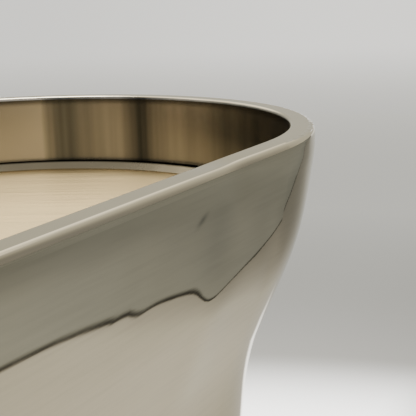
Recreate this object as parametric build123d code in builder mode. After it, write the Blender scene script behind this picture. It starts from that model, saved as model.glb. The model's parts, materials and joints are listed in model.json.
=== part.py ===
"""Champagne bucket stand: an oval pedestal of three polished shells pulled together by one tie rod.

Millimetres, +Z up, origin on the floor under the middle of the stand. X runs along the oval, Y across it.
Every shell has the same plan: two straight flanks joined by two round ends. A section is therefore drawn
once as radius against height, extruded for the flanks and revolved for the ends.
"""
import os

from build123d import *

os.makedirs("parts", exist_ok=True)

# ---------------------------------------------------------------- overall sizes
stand_height = 620.0      # floor to rim
head_radius = 100.0       # outside radius of the round ends of the head
flank_length = 160.0      # straight part of the oval, the same for every shell
foot_radius = 118.0       # outside radius of the round ends of the foot
waist_radius = 66.0       # narrowest place of the column
rim_width = 8.0           # flat top of the head
wall = 4.0                # thickness of the shells below the head
half_flank = flank_length / 2

# ---------------------------------------------------------------- head
head_height = 130.0
neck_draw = 27.4          # how far the head draws in by its lower edge
rim_band = 3.0            # upright band under the rim
rim_outer_round = 2.0
rim_inner_round = 1.2
seat_depth = 26.5         # rim to the top of the seat trim
ledge_thickness = 5.0
ledge_width = 20.0
recess_radius = head_radius - rim_width

# ---------------------------------------------------------------- seat that lifts out
seat_gap = 3.0            # open gap between the seat and the recess wall
trim_height = 5.5
trim_width = 4.0
trim_crest = 1.2          # how far the trim's highest line lies inside its outer edge
trim_round = 0.3
plate_thickness = 2.5
cushion_thickness = 1.5
cushion_radius = 7.0
finger_hole_radius = 11.0
finger_hole_spacing = 90.0
trim_radius = recess_radius - seat_gap
plate_radius = trim_radius - trim_width
seat_bottom = stand_height - seat_depth - trim_height
ledge_top = seat_bottom - cushion_thickness
ledge_bottom = ledge_top - ledge_thickness
ledge_inner = recess_radius - ledge_width

# ---------------------------------------------------------------- joints between the shells
ring_flange = 1.2         # visible line between two shells
register_depth = 12.0     # upright bore either side of a joint
ring_thickness = 5.0
ring_clearance = 0.1
ring_setback = 0.5        # flange edge stays this far inside the outer skin
head_joint = stand_height - head_height
foot_joint = 150.0
head_joint_radius = head_radius - neck_draw
foot_joint_radius = 76.0
register_wall = wall

# ---------------------------------------------------------------- foot
foot_clearance = 6.0      # lower edge of the foot above the floor
foot_band = 16.0
foot_round = 2.5
rubber_height = 14.0
base_plate_thickness = 6.0
base_plate_clearance = 1.0
shelf_thickness = 5.0
shelf_width = 12.0
shelf_bottom = rubber_height + base_plate_thickness
rebate_radius = foot_radius - 6.0
base_plate_radius = rebate_radius - base_plate_clearance

# ---------------------------------------------------------------- tie rod, bridge and ballast
rod_radius = 5.0
rod_clearance = 0.5
rod_tip = 3.0
nut_across = 17.0
nut_height = 8.0
washer_radius = 14.0
washer_thickness = 2.0
bridge_width = 60.0
bridge_thickness = 6.0
bridge_drop = 26.0
bridge_reach = ledge_inner + 12.0    # half length across the oval
bridge_land = 18.0        # flat end under the ledge
bridge_screw_x = 20.0
bridge_screw_y = bridge_reach - 6.0
bridge_screw_length = 12.0
screw_radius = 3.0
screw_head_radius = 6.0
screw_clearance = 0.05
ballast_radius = 55.0
ballast_flank = 140.0
ballast_height = 32.0
ballast_screw_x = 60.0
ballast_screw_length = 20.0
rubber_radius = 15.0
rubber_x = half_flank + 40.0
rubber_y = base_plate_radius - 39.0
rubber_screw_length = 12.0
rubber_screw_recess = 6.0

bridge_end_top = ledge_bottom
bridge_mid_top = bridge_end_top - bridge_drop
bridge_mid_bottom = bridge_mid_top - bridge_thickness

# ---------------------------------------------------------------- sections, radius against height
# Head: how far the skin has drawn in at each depth below the rim.
head_curve = [
    (12.0, 0.9), (25.0, 3.2), (38.0, 6.7), (47.0, 10.3), (56.0, 14.3),
    (66.0, 18.6), (77.0, 22.0), (90.0, 24.2), (104.0, 25.6),
]
head_outer = [(head_radius - d, stand_height - z) for z, d in head_curve]
head_inner = [(r - wall, z) for r, z in reversed(head_outer) if z < ledge_bottom - 2.0]
ledge_root = head_radius - 6.7 - wall
head_register = head_joint_radius - register_wall

with BuildSketch(Plane.YZ) as head_section:
    with BuildLine():
        Line((recess_radius, stand_height), (head_radius, stand_height))
        Line((head_radius, stand_height), (head_radius, stand_height - rim_band))
        Spline(
            (head_radius, stand_height - rim_band),
            *head_outer,
            (head_joint_radius, head_joint + ring_flange / 2),
            tangents=[(0, -1), (-0.05, -1)],
        )
        Polyline(
            (head_joint_radius, head_joint + ring_flange / 2),
            (head_register, head_joint + ring_flange / 2),
            (head_register, head_joint + register_depth),
        )
        Polyline(
            (head_register, head_joint + register_depth),
            *head_inner,
            (ledge_root, ledge_bottom),
            (ledge_inner, ledge_bottom),
            (ledge_inner, ledge_top),
            (recess_radius, ledge_top),
            (recess_radius, stand_height),
        )
    make_face()
    rim_corners = head_section.vertices().group_by(Axis.Y)[-1].sort_by(Axis.X)
    fillet(rim_corners[0], radius=rim_inner_round)
    rim_corners = head_section.vertices().group_by(Axis.Y)[-1].sort_by(Axis.X)
    fillet(rim_corners[-1], radius=rim_outer_round)

# Column: a long shallow waist between the two joints.
column_top = head_joint - ring_flange / 2
column_bottom = foot_joint + ring_flange / 2
waist_height = foot_joint + 0.46 * (head_joint - foot_joint)
column_register_top = head_joint_radius - register_wall
column_register_bottom = foot_joint_radius - register_wall
with BuildSketch(Plane.YZ) as column_section:
    with BuildLine():
        Spline(
            (head_joint_radius, column_top),
            (waist_radius, waist_height),
            (foot_joint_radius, column_bottom),
            tangents=[(-0.05, -1), (0.17, -1)],
        )
        Polyline(
            (foot_joint_radius, column_bottom),
            (column_register_bottom, column_bottom),
            (column_register_bottom, foot_joint + register_depth),
        )
        Spline(
            (column_register_bottom, foot_joint + register_depth),
            (waist_radius - wall, waist_height),
            (column_register_top, head_joint - register_depth),
        )
        Polyline(
            (column_register_top, head_joint - register_depth),
            (column_register_top, column_top),
            (head_joint_radius, column_top),
        )
    make_face()

# Foot: the flare of the head turned over and spread wider.
foot_top = foot_joint - ring_flange / 2
foot_flare_top = foot_clearance + foot_band
foot_spread = foot_radius - foot_joint_radius
foot_rise = foot_top - foot_flare_top
foot_curve = [(0.30, 0.90), (0.50, 0.62), (0.68, 0.30), (0.84, 0.11)]
foot_outer = [(foot_joint_radius + s * foot_spread, foot_flare_top + t * foot_rise) for t, s in foot_curve]
foot_inner = [(r - wall, z) for r, z in foot_outer]
shelf_inner = rebate_radius - shelf_width
with BuildSketch(Plane.YZ) as foot_section:
    with BuildLine():
        Line((rebate_radius, foot_clearance), (foot_radius, foot_clearance))
        Line((foot_radius, foot_clearance), (foot_radius, foot_flare_top))
        Spline(
            (foot_radius, foot_flare_top),
            *foot_outer,
            (foot_joint_radius, foot_top),
            tangents=[(0, 1), (-0.17, 1)],
        )
        Polyline(
            (foot_joint_radius, foot_top),
            (column_register_bottom, foot_top),
            (column_register_bottom, foot_joint - register_depth),
            *reversed(foot_inner),
            (foot_radius - wall - 1.0, shelf_bottom + shelf_thickness),
            (shelf_inner, shelf_bottom + shelf_thickness),
            (shelf_inner, shelf_bottom),
            (rebate_radius, shelf_bottom),
            (rebate_radius, foot_clearance),
        )
    make_face()
    foot_corner = foot_section.vertices().group_by(Axis.Y)[0].sort_by(Axis.X)[-1]
    fillet(foot_corner, radius=foot_round)

# Joint rings: a spigot inside both shells and a thin flange between them.
ring_sections = []
for joint_height, joint_radius in ((head_joint, head_joint_radius), (foot_joint, foot_joint_radius)):
    spigot = joint_radius - register_wall - ring_clearance
    half_flange = ring_flange / 2
    with BuildSketch(Plane.YZ) as ring_section:
        with BuildLine():
            Polyline(
                (spigot - ring_thickness, joint_height - register_depth + 1.0),
                (spigot, joint_height - register_depth + 1.0),
                (spigot, joint_height - half_flange),
                (joint_radius - ring_setback, joint_height - half_flange),
                (joint_radius - ring_setback, joint_height + half_flange),
                (spigot, joint_height + half_flange),
                (spigot, joint_height + register_depth - 1.0),
                (spigot - ring_thickness, joint_height + register_depth - 1.0),
                close=True,
            )
        make_face()
    ring_sections.append(ring_section)

# Seat trim: a strip with a sloping face round the edge of the seat plate, falling away again at the gap.
trim_top = seat_bottom + trim_height
with BuildSketch(Plane.YZ) as trim_section:
    with BuildLine():
        Polyline(
            (plate_radius, seat_bottom),
            (trim_radius, seat_bottom),
            (trim_radius, trim_top - trim_crest),
            (trim_radius - trim_crest, trim_top),
            (plate_radius, seat_bottom + plate_thickness + trim_round),
            close=True,
        )
    make_face()
    fillet(trim_section.vertices().group_by(Axis.Y)[-1], radius=trim_round)

# ---------------------------------------------------------------- shells and rings
end_axis = Axis((half_flank, 0, 0), (0, 0, -1))
round_bodies = {}
for name, section in (
    ("head_casting", head_section),
    ("column_shell", column_section),
    ("foot_casting", foot_section),
    ("upper_joint_ring", ring_sections[0]),
    ("lower_joint_ring", ring_sections[1]),
    ("seat_trim", trim_section),
):
    with BuildPart() as body:
        with BuildSketch(Plane.YZ):
            add(section.sketch_local)
        extrude(amount=half_flank, both=True)
        mirror(about=Plane.XZ)
        with BuildSketch(Plane.YZ.offset(half_flank)):
            add(section.sketch_local)
        revolve(axis=end_axis, revolution_arc=180)
        mirror(about=Plane.YZ)
    round_bodies[name] = body

# ---------------------------------------------------------------- head casting, holes for the bridge screws
bridge_holes = [(x, y) for x in (-bridge_screw_x, bridge_screw_x) for y in (-bridge_screw_y, bridge_screw_y)]
with BuildPart() as head_casting:
    add(round_bodies["head_casting"].part)
    with Locations(Plane.XY.offset(ledge_top)):
        with Locations(*bridge_holes):
            CounterSinkHole(
                radius=screw_radius + screw_clearance,
                counter_sink_radius=screw_head_radius + screw_clearance,
                depth=ledge_thickness + 1.0,
            )

column_shell = round_bodies["column_shell"]
foot_casting = round_bodies["foot_casting"]
upper_joint_ring = round_bodies["upper_joint_ring"]
lower_joint_ring = round_bodies["lower_joint_ring"]
seat_trim = round_bodies["seat_trim"]

# ---------------------------------------------------------------- seat plate
with BuildPart() as seat_plate:
    with BuildSketch(Plane.XY.offset(seat_bottom)):
        SlotCenterToCenter(flank_length, 2 * plate_radius)
        with GridLocations(finger_hole_spacing, 0, 2, 1):
            Circle(finger_hole_radius, mode=Mode.SUBTRACT)
    extrude(amount=plate_thickness)
    plate_top_edges = seat_plate.faces().sort_by(Axis.Z)[-1].edges()
    hole_edges = plate_top_edges.filter_by(GeomType.CIRCLE).filter_by(
        lambda e: abs(e.radius - finger_hole_radius) < 0.01
    )
    fillet(hole_edges, radius=1.0)

# ---------------------------------------------------------------- cushions on the ledge
cushion_line = (ledge_inner + recess_radius) / 2
cushion_spots = [(x, y) for x in (-half_flank, half_flank) for y in (-cushion_line, cushion_line)]
cushion_spots += [(-half_flank - cushion_line, 0), (half_flank + cushion_line, 0)]
with BuildPart() as seat_cushions:
    with BuildSketch(Plane.XY.offset(ledge_top)):
        with Locations(*cushion_spots):
            Circle(cushion_radius)
    extrude(amount=cushion_thickness)
    fillet(seat_cushions.edges().group_by(Axis.Z)[-1], radius=0.5)

# ---------------------------------------------------------------- bridge under the ledge
with BuildPart() as head_bridge:
    land_inner = bridge_reach - bridge_land
    slope_inner = land_inner - bridge_drop
    with BuildSketch(Plane.YZ):
        with BuildLine():
            Polyline(
                (-bridge_reach, bridge_end_top),
                (-land_inner, bridge_end_top),
                (-slope_inner, bridge_mid_top),
                (slope_inner, bridge_mid_top),
                (land_inner, bridge_end_top),
                (bridge_reach, bridge_end_top),
                (bridge_reach, bridge_end_top - bridge_thickness),
                (land_inner - 2.5, bridge_end_top - bridge_thickness),
                (slope_inner - 2.5, bridge_mid_bottom),
                (-slope_inner + 2.5, bridge_mid_bottom),
                (-land_inner + 2.5, bridge_end_top - bridge_thickness),
                (-bridge_reach, bridge_end_top - bridge_thickness),
                close=True,
            )
        make_face()
    extrude(amount=bridge_width / 2, both=True)
    fillet(head_bridge.edges().filter_by(Axis.Z), radius=4.0)
    with Locations(Plane.XY.offset(bridge_mid_top)):
        Hole(radius=rod_radius + rod_clearance, depth=bridge_thickness + 1.0)
    with Locations(Plane.XY.offset(bridge_end_top)):
        with Locations(*bridge_holes):
            Hole(radius=screw_radius + screw_clearance, depth=bridge_thickness + 1.0)

# ---------------------------------------------------------------- countersunk screws for the bridge
with BuildPart() as bridge_screws:
    cone_depth = screw_head_radius - screw_radius
    with BuildSketch(Plane.XY.offset(ledge_top)):
        with Locations(*bridge_holes):
            Circle(screw_head_radius)
    extrude(amount=-cone_depth, taper=45)
    with BuildSketch(Plane.XY.offset(ledge_top - cone_depth)):
        with Locations(*bridge_holes):
            Circle(screw_radius)
    extrude(amount=-(bridge_screw_length - cone_depth))
    with BuildSketch(Plane.XY.offset(ledge_top)):
        with Locations(*bridge_holes):
            RegularPolygon(2.0, 6)
    extrude(amount=-2.0, mode=Mode.SUBTRACT)

# ---------------------------------------------------------------- base plate, ballast and their screws
ballast_spots = [(-ballast_screw_x, 0), (ballast_screw_x, 0)]
rubber_spots = [(x, y) for x in (-rubber_x, rubber_x) for y in (-rubber_y, rubber_y)]
with BuildPart() as base_plate:
    with BuildSketch(Plane.XY.offset(rubber_height)):
        SlotCenterToCenter(flank_length, 2 * base_plate_radius)
    extrude(amount=base_plate_thickness)
    with Locations(Plane.XY.offset(shelf_bottom)):
        Hole(radius=rod_radius + rod_clearance, depth=base_plate_thickness + 1.0)
        with Locations(*rubber_spots):
            Hole(radius=screw_radius + screw_clearance, depth=base_plate_thickness + 1.0)
    with Locations(Plane(origin=(0, 0, rubber_height), z_dir=(0, 0, -1))):
        with Locations(*ballast_spots):
            CounterSinkHole(
                radius=screw_radius + screw_clearance,
                counter_sink_radius=screw_head_radius + screw_clearance,
                depth=base_plate_thickness + 1.0,
            )

with BuildPart() as ballast:
    with BuildSketch(Plane.XY.offset(shelf_bottom)):
        SlotCenterToCenter(ballast_flank, 2 * ballast_radius)
    extrude(amount=ballast_height)
    fillet(ballast.edges().group_by(Axis.Z)[-1], radius=3.0)
    with Locations(Plane.XY.offset(shelf_bottom + ballast_height)):
        Hole(radius=rod_radius + rod_clearance, depth=ballast_height + 1.0)
        with Locations(*ballast_spots):
            Hole(radius=screw_radius + screw_clearance, depth=ballast_height + 1.0)

with BuildPart() as ballast_screws:
    with BuildSketch(Plane.XY.offset(rubber_height)):
        with Locations(*ballast_spots):
            Circle(screw_head_radius)
    extrude(amount=cone_depth, taper=45)
    with BuildSketch(Plane.XY.offset(rubber_height + cone_depth)):
        with Locations(*ballast_spots):
            Circle(screw_radius)
    extrude(amount=ballast_screw_length - cone_depth)
    with BuildSketch(Plane.XY.offset(rubber_height)):
        with Locations(*ballast_spots):
            RegularPolygon(2.0, 6)
    extrude(amount=2.0, mode=Mode.SUBTRACT)

# ---------------------------------------------------------------- rubber feet and their screws
with BuildPart() as rubber_feet:
    with BuildSketch():
        with Locations(*rubber_spots):
            Circle(rubber_radius)
    extrude(amount=rubber_height)
    fillet(rubber_feet.edges().group_by(Axis.Z)[0], radius=2.0)
    with Locations(Plane.XY.offset(rubber_height)):
        with Locations(*rubber_spots):
            Hole(radius=screw_radius + screw_clearance, depth=rubber_height + 1.0)
    with BuildSketch():
        with Locations(*rubber_spots):
            Circle(screw_head_radius + screw_clearance)
    extrude(amount=rubber_screw_recess, mode=Mode.SUBTRACT)

with BuildPart() as rubber_screws:
    with BuildSketch(Plane.XY.offset(rubber_screw_recess - cone_depth)):
        with Locations(*rubber_spots):
            Circle(screw_head_radius)
    extrude(amount=cone_depth)
    with BuildSketch(Plane.XY.offset(rubber_screw_recess)):
        with Locations(*rubber_spots):
            Circle(screw_radius)
    extrude(amount=rubber_screw_length)
    with BuildSketch(Plane.XY.offset(rubber_screw_recess - cone_depth)):
        with Locations(*rubber_spots):
            RegularPolygon(2.0, 6)
    extrude(amount=2.0, mode=Mode.SUBTRACT)

# ---------------------------------------------------------------- tie rod with a washer and a nut at each end
rod_top = bridge_mid_top + washer_thickness + nut_height + rod_tip
rod_bottom = rubber_height - washer_thickness - nut_height - 1.0
with BuildPart() as tie_rod:
    with BuildSketch(Plane.XY.offset(rod_bottom)):
        Circle(rod_radius)
    extrude(amount=rod_top - rod_bottom)
    chamfer(tie_rod.edges().filter_by(GeomType.CIRCLE), length=0.8)

fastener_levels = {
    "top_washer": (bridge_mid_top, washer_thickness),
    "top_nut": (bridge_mid_top + washer_thickness, nut_height),
    "bottom_washer": (rubber_height - washer_thickness, washer_thickness),
    "bottom_nut": (rubber_height - washer_thickness - nut_height, nut_height),
}
fasteners = {}
for name, (level, height) in fastener_levels.items():
    with BuildPart() as fastener:
        with BuildSketch(Plane.XY.offset(level)):
            if name.endswith("washer"):
                Circle(washer_radius)
            else:
                RegularPolygon(nut_across / 2, 6, major_radius=False)
            Circle(rod_radius + screw_clearance, mode=Mode.SUBTRACT)
        extrude(amount=height)
    fasteners[name] = fastener

# ---------------------------------------------------------------- one file for each piece
pieces = {
    "head_casting": head_casting,
    "column_shell": column_shell,
    "foot_casting": foot_casting,
    "upper_joint_ring": upper_joint_ring,
    "lower_joint_ring": lower_joint_ring,
    "seat_plate": seat_plate,
    "seat_trim": seat_trim,
    "seat_cushions": seat_cushions,
    "head_bridge": head_bridge,
    "bridge_screws": bridge_screws,
    "tie_rod": tie_rod,
    "base_plate": base_plate,
    "ballast": ballast,
    "ballast_screws": ballast_screws,
    "rubber_feet": rubber_feet,
    "rubber_screws": rubber_screws,
    **fasteners,
}
for name, piece in pieces.items():
    piece.part.label = name
    export_step(piece.part, f"parts/{name}.step")
    box = piece.part.bounding_box()
    print(f"{name:18s} {piece.part.volume / 1000:9.2f} cm3  z {box.min.Z:7.2f} {box.max.Z:7.2f}")
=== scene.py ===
"""Looks of the champagne bucket stand: polished nickel shells, a brushed lift-out seat, soft studio light.

Lengths are in metres. The floor, the lights and the fine surface detail are tuned for the photograph's view.
"""

import json
import math

import bpy
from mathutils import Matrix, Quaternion, Vector


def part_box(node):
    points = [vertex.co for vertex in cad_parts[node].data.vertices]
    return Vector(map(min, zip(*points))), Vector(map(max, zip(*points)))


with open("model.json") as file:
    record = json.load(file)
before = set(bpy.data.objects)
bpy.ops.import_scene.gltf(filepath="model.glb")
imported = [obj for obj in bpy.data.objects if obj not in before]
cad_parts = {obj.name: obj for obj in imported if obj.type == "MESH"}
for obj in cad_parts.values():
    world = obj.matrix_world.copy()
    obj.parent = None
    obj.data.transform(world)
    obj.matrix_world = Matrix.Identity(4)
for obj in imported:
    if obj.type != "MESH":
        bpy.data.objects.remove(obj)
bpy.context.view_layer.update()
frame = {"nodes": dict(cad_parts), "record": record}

RIM_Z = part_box("head_casting")[1].z
TRIM_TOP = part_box("seat_trim")[1].z
END_CENTRE = 0.08  # how far the centre of each round end is from the middle
NEAR_FLANK = -0.085  # the skin at a lower y than this is the near flank

MIX_A, MIX_B, MIX_RESULT = 6, 7, 2  # the colour sockets of a Mix node

# ------------------------------------------------------------------ node helpers


class Graph:
    """Shader nodes in one tree. A value is a socket, a number or an RGB colour."""

    def __init__(self, tree, space):
        self.nodes, self.links = tree.nodes, tree.links
        self.coords = self.nodes.new("ShaderNodeTexCoord").outputs[space]

    def feed(self, socket, value):
        if isinstance(value, bpy.types.NodeSocket):
            self.links.new(value, socket)
        elif socket.type == "RGBA":
            socket.default_value = (*value, 1.0)
        else:
            socket.default_value = value

    def add(self, kind, **inputs):
        """A new node with some of its named inputs fed."""
        node = self.nodes.new("ShaderNode" + kind)
        for name, value in inputs.items():
            self.feed(node.inputs[name.replace("_", " ")], value)
        return node

    def calc(self, operation, *values):
        node = self.add("Math")
        node.operation = operation
        for socket, value in zip(node.inputs, values):
            self.feed(socket, value)
        return node.outputs[0]

    def product(self, first, *others):
        for value in others:
            first = self.calc("MULTIPLY", first, value)
        return first

    def vector_calc(self, operation, *values):
        node = self.add("VectorMath")
        node.operation = operation
        for socket, value in zip(node.inputs, values):
            self.feed(socket, value)
        return node.outputs

    def ramp(self, source, low, high, out_low=0.0, out_high=1.0):
        """A smooth step from out_low to out_high as the source goes from low to high."""
        node = self.add("MapRange", Value=source, From_Min=low, From_Max=high, To_Min=out_low, To_Max=out_high)
        node.interpolation_type = "SMOOTHSTEP"
        return node.outputs["Result"]

    def bell(self, source, centre, width):
        """1 where the source is at the centre, falling away on both sides."""
        t = self.calc("DIVIDE", self.calc("SUBTRACT", source, centre), width)
        return self.calc("EXPONENT", self.product(t, t, -1.0))

    def blend(self, factor, a, b, kind="MIX"):
        node = self.add("Mix")
        node.data_type = "RGBA"
        node.blend_type = kind
        for place, value in ((0, factor), (MIX_A, a), (MIX_B, b)):
            self.feed(node.inputs[place], value)
        return node.outputs[MIX_RESULT]

    def colours(self, source, stops, interpolation="LINEAR"):
        """A colour ramp through (place, colour) stops, lowest place first."""
        node = self.add("ValToRGB", Fac=source)
        node.color_ramp.interpolation = interpolation
        elements = node.color_ramp.elements
        for element, (place, tone) in ((elements[0], stops[0]), (elements[1], stops[-1])):
            element.position, element.color = place, (*tone, 1.0)
        for place, tone in stops[1:-1]:
            elements.new(place).color = (*tone, 1.0)
        return node.outputs["Color"]

    def xyz(self):
        node = self.add("SeparateXYZ")
        self.feed(node.inputs[0], self.coords)
        return node.outputs

    def level_vector(self, x, y):
        node = self.add("CombineXYZ")
        self.feed(node.inputs[0], x)
        self.feed(node.inputs[1], y)
        return node.outputs[0]


class Mat(Graph):
    """A node material being put together around one Principled BSDF."""

    def __init__(self, name, color, metallic, rough):
        self.mat = bpy.data.materials.new(name)
        self.mat.use_nodes = True
        super().__init__(self.mat.node_tree, "Object")
        self.inputs = self.nodes["Principled BSDF"].inputs
        self.normal = None
        self.colour(color)
        self.feed(self.inputs["Metallic"], metallic)
        self.rough(rough)

    def noise(self, scale, detail=3.0, rough=0.55, distortion=0.0, stretch=(1, 1, 1), vector=None):
        if vector is None:
            vector = self.add("Mapping", Vector=self.coords, Scale=stretch).outputs["Vector"]
        node = self.add(
            "TexNoise", Vector=vector, Scale=scale, Detail=detail, Roughness=rough, Distortion=distortion
        )
        return node.outputs["Fac"]

    def facing_in(self, x, y):
        """1 on faces turned towards the middle of the oval, 0 elsewhere."""
        past_end = self.calc("MAXIMUM", self.calc("SUBTRACT", self.calc("ABSOLUTE", x), END_CENTRE), 0.0)
        outward = self.level_vector(self.product(past_end, self.calc("SIGN", x)), y)
        unit = self.vector_calc("NORMALIZE", outward)[0]
        normal = self.add("NewGeometry").outputs["True Normal"]
        return self.ramp(self.vector_calc("DOT_PRODUCT", unit, normal)["Value"], -0.9, -0.6, 1.0, 0.0)

    def colour(self, value):
        self.feed(self.inputs["Base Color"], value)

    def rough(self, value):
        self.feed(self.inputs["Roughness"], value)

    def bump(self, height, distance, strength=1.0):
        node = self.add("Bump", Height=height, Distance=distance, Strength=strength)
        if self.normal is not None:
            self.feed(node.inputs["Normal"], self.normal)
        self.normal = node.outputs["Normal"]
        self.feed(self.inputs["Normal"], self.normal)


# ------------------------------------------------------------------ polished nickel
NICKEL = (0.755, 0.685, 0.53)
NICKEL_WARM = (0.72, 0.645, 0.48)
NICKEL_GRAIN = (0.64, 0.58, 0.45)
# painted shade of a small dent on the near flank
DENT_SHADE = (0.22, 0.21, 0.18)
# painted shade in the seam at the foot of the well's wall
SEAM_SHADE = (0.01, 0.009, 0.008)
LIP_SHADE = (0.05, 0.047, 0.04)
# painted reflections on the well's wall: their dark and bright tones
WELL_REFLECTED_DARK = (0.09, 0.095, 0.093)
WELL_REFLECTED_DARK_FAR = (0.22, 0.225, 0.21)
WELL_REFLECTED_BRIGHT = (1.0, 0.93, 0.82)
WELL_ROUGH = 0.2  # added to the well's wall
FOOT_ROUGH = 0.1  # added below the head

# dark bands of painted reflection up the wall of the well: centre in y, width, depth
WELL_REFLECTION_BANDS = ((0.038, 0.0105, 0.85), (0.006, 0.0064, 0.97), (-0.046, 0.016, 0.7))

# a small dent on the near flank, painted as a dark spot of shade: place, half width, half height, lean,
# strength
MARK_X, MARK_Z = 0.0295, RIM_Z - 0.0105
MARK_WIDE, MARK_TALL, MARK_LEAN, MARK_STRENGTH = 0.0016, 0.0013, 1.2, 0.65

# hand-polishing swells on the near flank: centre in x, depth under the rim, width, slope, height
SWELLS = (
    (0.042, 0.030, 0.028, -0.03, 0.06),
    (0.046, 0.030, 0.0105, -0.075, 0.05),
    (0.078, 0.026, 0.007, 0.06, 0.014),
    (0.003, 0.027, 0.006, -0.009, 0.02),
)
SWELL_REACH, LONG_SWELL_REACH, LONG_SWELL_DEPTH = 0.009, 0.012, 0.027

polished = Mat("polished_nickel_finish", NICKEL, 1.0, 0.05)
px, py, pz = polished.xyz()
inward = polished.facing_in(px, py)

# roughness: a hazy polish, blurrier in the well and down at the foot
brush = polished.noise(1.0, 4, stretch=(22, 22, 1600))
haze = polished.ramp(polished.noise(30, 5), 0.3, 0.75, 0.02, 0.055)
rough = polished.calc("ADD", haze, polished.ramp(brush, 0.5, 0.85, 0.0, 0.02))
rough = polished.calc("ADD", rough, polished.ramp(pz, 0.42, 0.5, FOOT_ROUGH, 0.0))
polished.rough(polished.calc("ADD", rough, polished.product(inward, WELL_ROUGH)))

# the well's wall: painted reflections in dark and light bands, lightest at the far round end
reflection_streaks = polished.noise(1.0, 3, stretch=(110, 110, 2))
shade = polished.ramp(reflection_streaks, 0.25, 0.75, 0.72, 1.15)
for centre, width, depth in WELL_REFLECTION_BANDS:
    shade = polished.calc("SUBTRACT", shade, polished.product(polished.bell(py, centre, width), depth))
far_round_highlight = polished.calc(
    "ADD", polished.ramp(py, NEAR_FLANK, 0.03, 0.42, 0.8), polished.ramp(py, 0.038, 0.054, 0.0, 1.6)
)
shade = polished.product(polished.calc("MAXIMUM", shade, 0.0), far_round_highlight, far_round_highlight)
reflected_dark = polished.blend(polished.ramp(py, 0.01, 0.04), WELL_REFLECTED_DARK, WELL_REFLECTED_DARK_FAR)
well_reflection = polished.blend(shade, reflected_dark, WELL_REFLECTED_BRIGHT)

# the outside: mottled and grained nickel with the painted shade of one small dent
outside = polished.blend(polished.ramp(polished.noise(14, 4), 0.35, 0.7), NICKEL, NICKEL_WARM)
grain = polished.ramp(polished.noise(1.0, 5, stretch=(45, 45, 900)), 0.35, 0.75, 0.0, 0.5)
outside = polished.blend(grain, outside, NICKEL_GRAIN)
off_z = polished.calc("SUBTRACT", pz, MARK_Z)
off_x = polished.calc("SUBTRACT", polished.calc("SUBTRACT", px, MARK_X), polished.product(off_z, MARK_LEAN))
u, v = polished.calc("DIVIDE", off_x, MARK_WIDE), polished.calc("DIVIDE", off_z, MARK_TALL)
apart = polished.calc("ADD", polished.product(u, u), polished.product(v, v))
dent_shade_mask = polished.calc("EXPONENT", polished.product(apart, -1.0))
dent_shade_mask = polished.product(dent_shade_mask, polished.ramp(py, NEAR_FLANK, NEAR_FLANK + 0.005, 1.0, 0.0), MARK_STRENGTH)
outside = polished.blend(dent_shade_mask, outside, DENT_SHADE)

# painted shade where the wall meets the seat, and a painted shade line just under the lip
skin = polished.blend(inward, outside, well_reflection)
seam_shade_mask = polished.ramp(pz, TRIM_TOP - 0.0003, TRIM_TOP + 0.0002, 1.0, 0.0)
skin = polished.blend(polished.product(seam_shade_mask, inward), skin, SEAM_SHADE)
lip = polished.product(
    polished.ramp(pz, RIM_Z - 0.004, RIM_Z - 0.0013),
    polished.ramp(pz, RIM_Z - 0.0013, RIM_Z - 0.0009, 1.0, 0.0),
)
polished.colour(polished.blend(polished.product(lip, inward, 0.8), skin, LIP_SHADE))


def step_at(depth, reach):
    """A soft step in the skin at one depth under the rim, of slope 1 there."""
    t = polished.calc("DIVIDE", polished.calc("SUBTRACT", pz, RIM_Z - depth), reach)
    return polished.product(polished.calc("TANH", t), reach)


swells = polished.product(
    step_at(LONG_SWELL_DEPTH, LONG_SWELL_REACH), polished.ramp(px, -0.06, 0.05, 0.06, -0.012)
)
for centre, depth, width, slope, tall in SWELLS:
    window = polished.product(polished.bell(px, centre, width), polished.bell(pz, RIM_Z - depth, tall))
    step = polished.product(step_at(depth, SWELL_REACH), slope)
    swells = polished.calc("ADD", swells, polished.product(window, step))
front = polished.product(
    polished.ramp(py, NEAR_FLANK, -0.06, 1.0, 0.0), polished.ramp(pz, RIM_Z - 0.13, RIM_Z - 0.06)
)
polished.bump(polished.product(swells, front), 1.0)
polished.bump(polished.noise(11, 1.0, distortion=0.3), 0.0002)
polished.bump(polished.ramp(brush, 0.2, 0.8), 0.0000015, 0.3)
polished.inputs["Specular Tint"].default_value = (0.87, 0.87, 0.86, 1.0)

# ------------------------------------------------------------------ brushed seat plate
BRUSH_TURN = math.radians(-65)  # straight brush lines, run slantwise across the plate
BRUSH_STRETCH = 60.0

seat = Mat("brushed_seat_finish", (0.95, 0.8, 0.57), 1.0, 0.34)
sx, sy = seat.xyz()[:2]
along_x, along_y = math.cos(BRUSH_TURN), math.sin(BRUSH_TURN)


def turned(x_part, y_part):
    return seat.calc("ADD", seat.product(sx, x_part), seat.product(sy, y_part))


brushing = seat.level_vector(
    seat.product(turned(-along_y, along_x), BRUSH_STRETCH), turned(along_x, along_y)
)
lines = seat.noise(14, 4, rough=0.6, vector=brushing)
fine = seat.noise(60, 3, rough=0.6, vector=brushing)
seat.colour(seat.blend(seat.ramp(lines, 0.25, 0.75), (0.87, 0.68, 0.36), (0.8, 0.61, 0.31)))
seat.rough(seat.ramp(lines, 0.2, 0.8, 0.34, 0.48))
seat.bump(seat.calc("ADD", lines, seat.product(fine, 0.5)), 0.00002, 0.4)

# ------------------------------------------------------------------ the other finishes
trim = Mat("trim_finish", (0.50, 0.46, 0.38), 1.0, 0.3)
# painted shade: the trim is darker at its crest, along the seam with the well's wall
crest_seam_shade = trim.ramp(trim.xyz()["Z"], TRIM_TOP - 0.0005, TRIM_TOP - 0.0001)
trim.colour(trim.blend(crest_seam_shade, (0.45, 0.39, 0.27), (0.17, 0.15, 0.1)))
trim.rough(trim.ramp(trim.noise(60, 4), 0.3, 0.7, 0.24, 0.38))
trim.bump(trim.noise(180, 3), 0.0001, 0.4)

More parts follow.
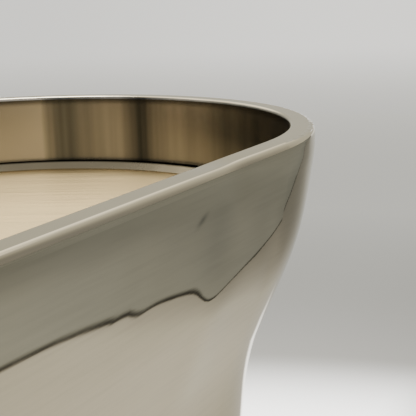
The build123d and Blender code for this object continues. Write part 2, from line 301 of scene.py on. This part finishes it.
ring = Mat("turned_aluminium", (0.42, 0.41, 0.39), 1.0, 0.35)
ring.rough(ring.ramp(ring.noise(1.0, 3, stretch=(30, 30, 2500)), 0.3, 0.7, 0.28, 0.5))

zinc = Mat("zinc_plated_steel", (0.56, 0.58, 0.62), 1.0, 0.33)
zinc.colour(zinc.blend(zinc.ramp(zinc.noise(90, 4), 0.35, 0.7), (0.6, 0.62, 0.66), (0.46, 0.47, 0.48)))
zinc.rough(zinc.ramp(zinc.noise(140, 4), 0.3, 0.7, 0.26, 0.48))

rubber = Mat("black_rubber_finish", (0.022, 0.022, 0.024), 0.0, 0.72)
rubber.rough(rubber.ramp(rubber.noise(120, 4), 0.3, 0.7, 0.62, 0.85))
rubber.bump(rubber.noise(700, 3), 0.0002, 0.4)

paint = Mat("satin_black_paint", (0.035, 0.035, 0.04), 0.0, 0.42)
paint.rough(paint.ramp(paint.noise(80, 4), 0.3, 0.7, 0.36, 0.55))
paint.bump(paint.noise(900, 2), 0.0001, 0.3)

iron = Mat("rough_iron", (0.12, 0.115, 0.11), 0.7, 0.65)
iron.colour(iron.blend(iron.ramp(iron.noise(60, 6), 0.35, 0.7), (0.13, 0.125, 0.12), (0.09, 0.075, 0.06)))
iron.bump(iron.noise(420, 5), 0.0006, 0.6)

finishes = {
    "polished_nickel": polished, "brushed_plate": seat, "trim_nickel": trim, "joint_aluminium": ring,
    "zinc_steel": zinc, "black_rubber": rubber, "black_paint": paint, "grey_iron": iron,
}
slots = {s["node"]: s["material_slot"] for s in frame["record"]["subparts"]}
for node, obj in frame["nodes"].items():
    for i in range(len(obj.material_slots)):
        obj.material_slots[i].material = finishes[slots[node]].mat

# ------------------------------------------------------------------ floor
# The polished flank mirrors the floor's front edge as a thin dark line.
FRONT_EDGE = -0.47
WHITE = (1, 1, 1)
DIM_FLOOR = (0.7, 0.745, 0.775)
FRONT_FLOOR = (0.56, 0.6, 0.625)
# painted shadow: a thin dark line along the paper's front edge
EDGE_SHADOW = (0.03, 0.03, 0.03)
EDGE_STOPS = (  # place 0.5 is the front edge, and one whole step is a metre
    (0.0, DIM_FLOOR), (0.2, DIM_FLOOR), (0.475, FRONT_FLOOR), (0.489, EDGE_SHADOW), (0.498, EDGE_SHADOW),
    (0.501, WHITE), (1.0, WHITE),
)
POOL_SCALE = 0.1  # the pool's stops run from the stand out to 10 m
# a painted pool of light and shade on the floor, by distance from the stand
LIGHT_POOL_STOPS = (
    (0.0, (0.82, 0.805, 0.745)), (0.05, (0.86, 0.845, 0.785)), (0.085, (0.9, 0.885, 0.83)),
    (0.1, (0.78, 0.77, 0.725)), (0.145, (0.5, 0.496, 0.475)), (0.19, (0.37, 0.373, 0.358)),
    (0.26, (0.59, 0.595, 0.57)), (0.5, (0.78, 0.785, 0.76)), (1.0, (0.7, 0.697, 0.68)),
)
# painted shade: the floor is painted dimmer in a sector
SECTOR_X, SECTOR_Y = -0.16, -0.2  # the dimmer sector fans out from here, under the photograph's camera
# painted light: the floor is given an emission glow, though it is no lamp
FAR_GLOW = 0.85
PATCH_GLOW = 3.0
GLOW_COLOUR = (1.0, 0.995, 0.97)
FLOOR_SIZE = 400


def floor_material():
    mat = Mat("floor_paper", WHITE, 0.0, 0.85)
    x, y, _ = mat.xyz()
    distance = mat.vector_calc("LENGTH", mat.coords)["Value"]

    # painted light and shade by distance, then the darker floor in front and the painted shadow at its edge
    light_pool = mat.colours(mat.product(distance, POOL_SCALE), LIGHT_POOL_STOPS, "B_SPLINE")
    edge = mat.colours(mat.calc("SUBTRACT", y, FRONT_EDGE - 0.5), EDGE_STOPS)
    paper = mat.blend(1.0, light_pool, edge, "MULTIPLY")

    # painted shade: light falls off towards the room, and in a sector to the right behind the front edge
    sideways = mat.calc("MAXIMUM", mat.calc("SUBTRACT", x, SECTOR_X), 0.05)
    heading = mat.calc("DIVIDE", mat.calc("SUBTRACT", y, SECTOR_Y), sideways)
    near_stand = mat.ramp(distance, 0.75, 1.5, 0.5, 0.0)
    painted_sector_shade = mat.calc("ADD", mat.ramp(heading, -0.12, 0.26, 0.56, 1.0), near_stand)
    before_edge = mat.ramp(y, FRONT_EDGE - 0.005, FRONT_EDGE + 0.005, 1.0, 0.0)
    painted_sector_shade = mat.calc("MINIMUM", mat.calc("MAXIMUM", painted_sector_shade, before_edge), 1.0)
    painted_falloff = mat.product(mat.ramp(y, -0.5, 0.6, 0.66, 1.0), painted_sector_shade)
    mat.colour(mat.blend(1.0, paper, painted_falloff, "MULTIPLY"))

    # painted light: the sweep glows brighter with distance, and has one glowing patch clear of the stand
    far = mat.product(mat.ramp(distance, 1.2, 11.0, 0.0, FAR_GLOW), mat.ramp(y, -0.2, 0.2))
    far = mat.product(far, mat.ramp(heading, 0.3, 0.85, 1.0, 0.7))
    painted_light_patch = mat.product(
        mat.ramp(distance, 1.14, 1.45, 1.0, 0.0), mat.ramp(distance, 1.02, 1.14),
        mat.ramp(y, 0.08, 0.24), mat.ramp(x, 0.6, 1.1),
    )
    mat.feed(mat.inputs["Emission Strength"], mat.calc("MULTIPLY_ADD", painted_light_patch, PATCH_GLOW, far))
    mat.feed(mat.inputs["Emission Color"], GLOW_COLOUR)
    return mat.mat


bpy.ops.mesh.primitive_plane_add(size=FLOOR_SIZE, location=(0, 0, 0))
floor = bpy.context.object
floor.name = "floor"
floor.data.materials.append(floor_material())

# ------------------------------------------------------------------ world: pale sweep behind, dim room in front
ROOM_DARK, ROOM_PALE = (0.26, 0.257, 0.243), (0.33, 0.325, 0.305)
SWEEP = (0.71, 0.685, 0.585)
SOFTBOX = (1.9, 1.8, 1.55)
ZENITH_ROOM, ZENITH_SWEEP = (0.42, 0.415, 0.4), (2.2, 2.1, 1.9)
TOWARDS_SWEEP = (0.6, 0.8, 0.0)

world = bpy.data.worlds.new("studio")
bpy.context.scene.world = world
world.use_nodes = True
sky = Graph(world.node_tree, "Generated")
wx, wy, wz = sky.xyz()
facing = sky.vector_calc("DOT_PRODUCT", sky.coords, TOWARDS_SWEEP)["Value"]

bands = sky.add("TexNoise", Scale=1.3, Detail=1.0)
bands.noise_dimensions = "1D"
sky.feed(bands.inputs["W"], sky.calc("ARCTAN2", wy, wx))
room = sky.blend(sky.ramp(bands.outputs["Fac"], 0.3, 0.7), ROOM_DARK, ROOM_PALE)
walls = sky.blend(sky.ramp(facing, 0.0, 0.5), room, SWEEP)
softbox = sky.blend(sky.ramp(facing, 0.45, 0.95), walls, SOFTBOX)
raised = sky.blend(sky.ramp(wz, 0.25, 0.4), walls, softbox)
zenith = sky.blend(sky.ramp(facing, 0.35, 0.6), ZENITH_ROOM, ZENITH_SWEEP)
background = world.node_tree.nodes["Background"]
sky.feed(background.inputs["Color"], sky.blend(sky.ramp(wz, 0.6, 0.75), raised, zenith))
background.inputs["Strength"].default_value = 1.0

# ------------------------------------------------------------------ light
LAMP_PLACE, LAMP_TARGET = Vector((1.1, 0.5, 2.8)), Vector((0.2, 0.1, 0.0))

lamp_data = bpy.data.lights.new("overhead_softbox", "AREA")
lamp_data.shape = "RECTANGLE"
lamp_data.size, lamp_data.size_y = 1.4, 1.0
lamp_data.energy = 62
lamp_data.color = (1.0, 0.985, 0.96)
lamp = bpy.data.objects.new("overhead_softbox", lamp_data)
bpy.context.scene.collection.objects.link(lamp)
lamp.location = LAMP_PLACE
lamp.rotation_mode = "QUATERNION"
lamp.rotation_quaternion = (LAMP_TARGET - LAMP_PLACE).to_track_quat("-Z", "Y")

# ------------------------------------------------------------------ camera, as fitted to the photograph
FOCAL_PIXELS, FRAME_PIXELS, SENSOR = 953.0, 416.0, 36.0
HEADING, PITCH, ROLL = math.radians(28.13), math.radians(12.93), math.radians(1.79)
CAMERA_PLACE = (-0.1594, -0.2018, RIM_Z + 0.0418)

camera_data = bpy.data.cameras.new("camera")
camera_data.sensor_width = SENSOR
camera_data.lens = FOCAL_PIXELS / FRAME_PIXELS * SENSOR
camera_data.clip_start, camera_data.clip_end = 0.01, 300
camera = bpy.data.objects.new("camera", camera_data)
bpy.context.scene.collection.objects.link(camera)
bpy.context.scene.camera = camera
forward = Vector((math.cos(HEADING) * math.cos(PITCH), math.sin(HEADING) * math.cos(PITCH), -math.sin(PITCH)))
camera.location = CAMERA_PLACE
camera.rotation_mode = "QUATERNION"
camera.rotation_quaternion = Quaternion(forward, ROLL) @ forward.to_track_quat("-Z", "Y")
